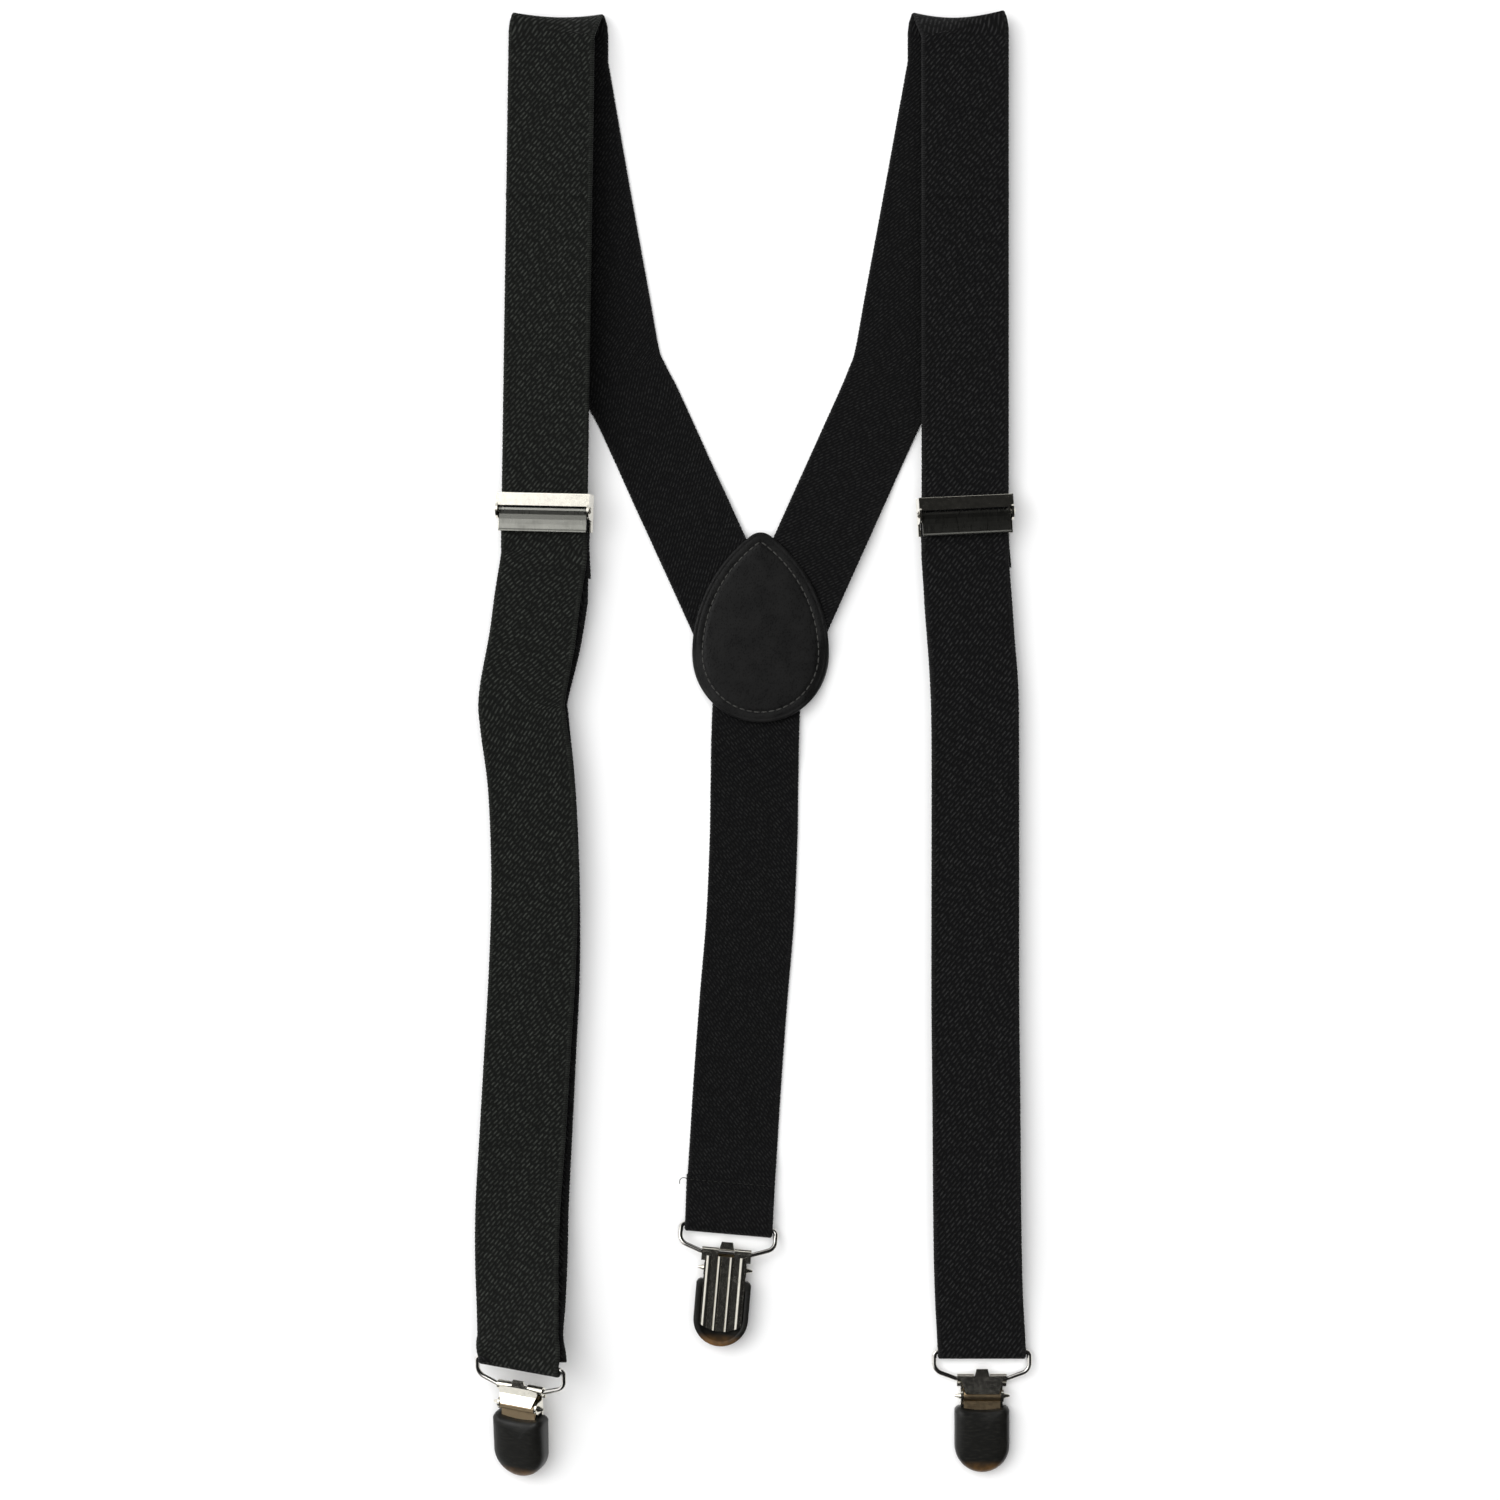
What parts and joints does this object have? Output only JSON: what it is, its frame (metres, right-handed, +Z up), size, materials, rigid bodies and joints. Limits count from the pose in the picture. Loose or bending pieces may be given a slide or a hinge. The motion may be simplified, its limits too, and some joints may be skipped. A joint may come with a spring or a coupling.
{
  "type": "suspenders",
  "caption": "Black clip-on suspenders with a Y-shaped back, teardrop leather patch, sliding adjusters and hinged metal clips, laid out flat.",
  "frame": {"origin": "middle of the flat outline, on the surface it lies on", "axes": "+Y from the waist clips to the shoulder folds, +Z up out of the outer face, +X to the right seen from above"},
  "size_m": [0.1595, 0.419, 0.0199],
  "materials": {
    "webbing": "matt twill",
    "leather": "satin grain",
    "thread": "matt",
    "nickel": "polished",
    "boot": "semi-gloss"
  },
  "bodies": {
    "shoulders": {"patch_back": "leather", "patch_front": "leather", "patch_stitching": "thread", "back_strap": "webbing", "back_hem_stitching": "thread", "left_shoulder_strap": "webbing", "right_shoulder_strap": "webbing"},
    "left_strap": {"left_front_strap": "webbing", "left_return_strap": "webbing"},
    "left_adjuster": {"left_adjuster_hem": "webbing", "left_hem_stitching": "thread", "left_adjuster_frame": "nickel", "left_adjuster_rivets": "nickel"},
    "left_lever": {"left_adjuster_lever": "nickel"},
    "right_strap": {"right_front_strap": "webbing", "right_return_strap": "webbing"},
    "right_adjuster": {"right_adjuster_hem": "webbing", "right_hem_stitching": "thread", "right_adjuster_frame": "nickel", "right_adjuster_rivets": "nickel"},
    "right_lever": {"right_adjuster_lever": "nickel"},
    "left_loop": {"left_wire_loop": "nickel"},
    "left_clip": {"left_clip_plate": "nickel", "left_clip_spring": "nickel", "left_clip_pin": "nickel"},
    "left_jaw": {"left_clip_jaw": "nickel", "left_clip_boot": "boot"},
    "right_loop": {"right_wire_loop": "nickel"},
    "right_clip": {"right_clip_plate": "nickel", "right_clip_spring": "nickel", "right_clip_pin": "nickel"},
    "right_jaw": {"right_clip_jaw": "nickel", "right_clip_boot": "boot"},
    "back_loop": {"back_wire_loop": "nickel"},
    "back_clip": {"back_clip_plate": "nickel", "back_clip_spring": "nickel", "back_clip_pin": "nickel"},
    "back_jaw": {"back_clip_jaw": "nickel", "back_clip_boot": "boot"}
  },
  "joints": [
    {"name": "left_strap_slide", "type": "slide", "parent": "shoulders", "child": "left_strap", "axis": [-0.005, 1, 0], "range_m": [-0.19, 0.055], "deforming": ["left_front_strap", "left_return_strap"]},
    {"name": "left_adjuster_slide", "type": "slide", "parent": "left_strap", "child": "left_adjuster", "axis": [0.0384, 0.9993, 0], "range_m": [-0.19, 0.055], "deforming": ["left_front_strap", "left_return_strap"]},
    {"name": "left_lever_hinge", "type": "hinge", "parent": "left_adjuster", "child": "left_lever", "pos_m": [-0.05963, 0.06791, 0.00997], "axis": [-0.9843, 0.0309, -0.1736], "range_deg": [0, 100]},
    {"name": "right_strap_slide", "type": "slide", "parent": "shoulders", "child": "right_strap", "axis": [0.017, 0.9999, 0], "range_m": [-0.19, 0.055], "deforming": ["right_front_strap", "right_return_strap"]},
    {"name": "right_adjuster_slide", "type": "slide", "parent": "right_strap", "child": "right_adjuster", "axis": [-0.017, 0.9999, 0], "range_m": [-0.19, 0.055], "deforming": ["right_front_strap", "right_return_strap"]},
    {"name": "right_lever_hinge", "type": "hinge", "parent": "right_adjuster", "child": "right_lever", "pos_m": [0.06088, 0.06711, 0.00919], "axis": [-0.9932, -0.052, 0.1045], "range_deg": [0, 100]},
    {"name": "left_loop_hinge", "type": "hinge", "parent": "left_strap", "child": "left_loop", "pos_m": [-0.066, -0.1746, 0.0132], "axis": [0.9203, -0.113, 0.3746], "range_deg": [-96, 64]},
    {"name": "left_clip_hinge", "type": "hinge", "parent": "left_loop", "child": "left_clip", "pos_m": [-0.0659, -0.18195, 0.01074], "axis": [0.9203, -0.113, 0.3746], "range_deg": [-83, 87]},
    {"name": "left_jaw_hinge", "type": "hinge", "parent": "left_clip", "child": "left_jaw", "pos_m": [-0.06649, -0.18694, 0.01069], "axis": [-0.9203, 0.113, -0.3746], "range_deg": [0, 85]},
    {"name": "right_loop_hinge", "type": "hinge", "parent": "right_strap", "child": "right_loop", "pos_m": [0.0657, -0.1727, 0.00215], "axis": [1, 0, 0], "range_deg": [-80, 80]},
    {"name": "right_clip_hinge", "type": "hinge", "parent": "right_loop", "child": "right_clip", "pos_m": [0.0657, -0.18045, 0.00215], "axis": [1, 0, 0], "range_deg": [-85, 85]},
    {"name": "right_jaw_hinge", "type": "hinge", "parent": "right_clip", "child": "right_jaw", "pos_m": [0.0657, -0.18525, 0.00365], "axis": [-1, 0, 0], "range_deg": [0, 85]},
    {"name": "back_loop_hinge", "type": "hinge", "parent": "shoulders", "child": "back_loop", "pos_m": [-0.0068, -0.137, 0.00215], "axis": [-0.9962, 0.0872, 0], "range_deg": [-101.2, 58.8]},
    {"name": "back_clip_hinge", "type": "hinge", "parent": "back_loop", "child": "back_clip", "pos_m": [-0.00743, -0.1442, 0.00495], "axis": [-0.9962, 0.0872, 0], "range_deg": [-60, 100]},
    {"name": "back_jaw_hinge", "type": "hinge", "parent": "back_clip", "child": "back_jaw", "pos_m": [-0.00785, -0.14898, 0.00345], "axis": [0.9962, -0.0872, 0], "range_deg": [0, 85]}
  ],
  "couplings": [
    {"joint": "left_adjuster_slide", "follows": "left_strap_slide", "ratio": 1},
    {"joint": "right_adjuster_slide", "follows": "right_strap_slide", "ratio": 1}
  ]
}
